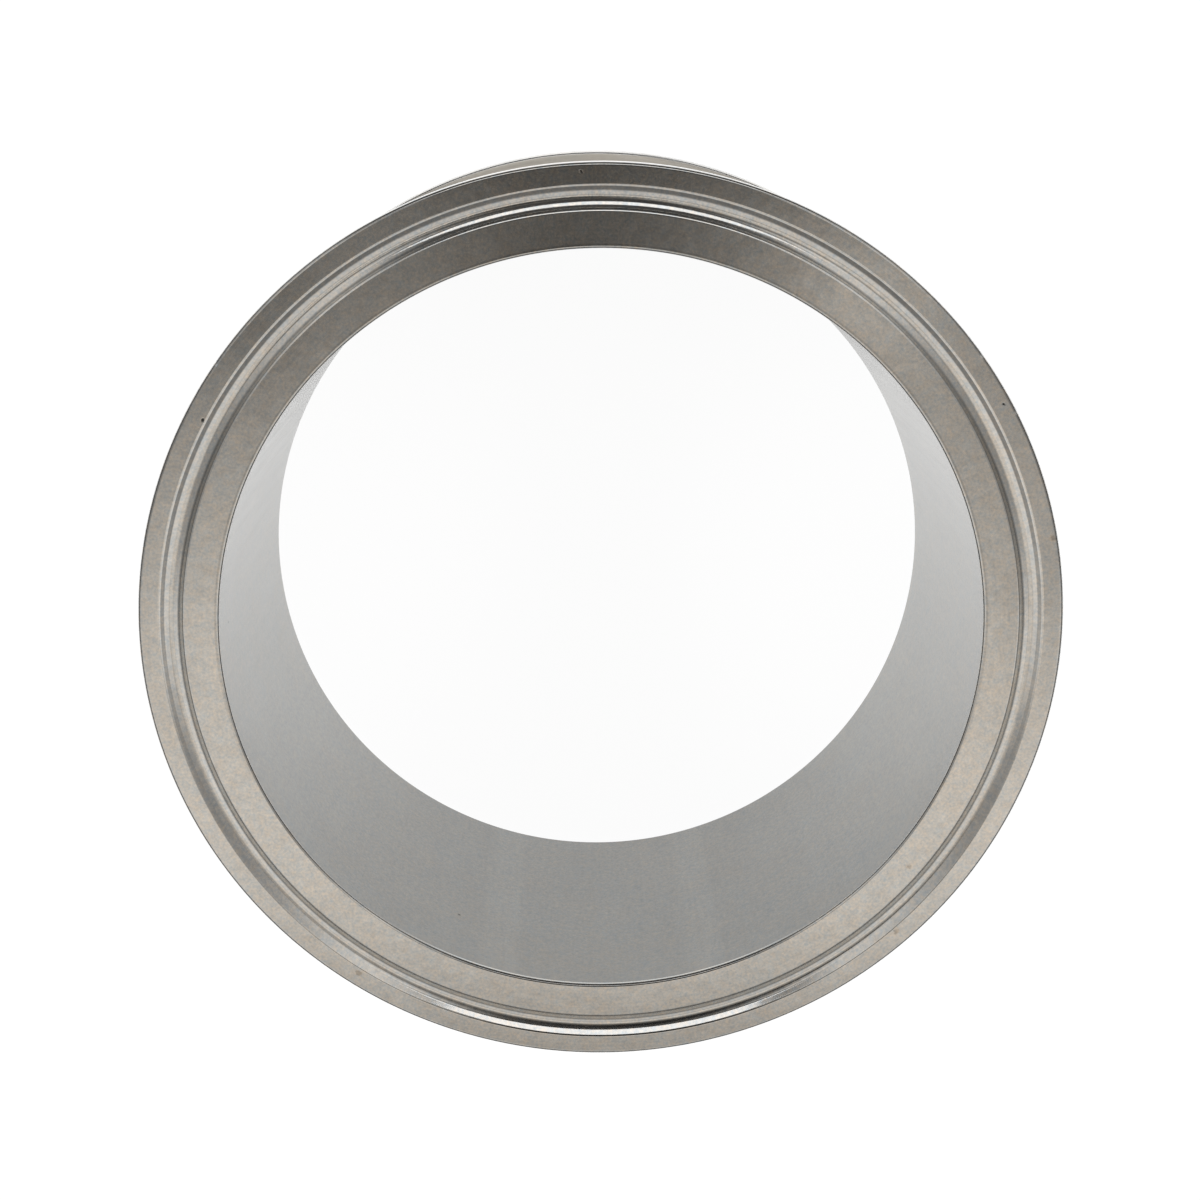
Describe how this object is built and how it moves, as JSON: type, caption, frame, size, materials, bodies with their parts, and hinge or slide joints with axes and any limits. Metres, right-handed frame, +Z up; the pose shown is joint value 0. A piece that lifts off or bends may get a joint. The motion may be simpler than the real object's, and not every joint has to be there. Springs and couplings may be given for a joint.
{
  "type": "sanitary spool",
  "caption": "Short round tube spool with a flat clamp flange and gasket groove at each end and a smooth open bore.",
  "frame": {"origin": "centre of the lower sealing face, which the spool stands on", "axes": "+Z up along the bore, from the lower sealing face to the upper one; X and Y are any two radial directions"},
  "size_m": [0.119, 0.119, 0.0508],
  "materials": {
    "steel": "fine polished stainless steel, satin in the bore"
  },
  "bodies": {
    "root": {"spool": "steel"}
  },
  "joints": []
}
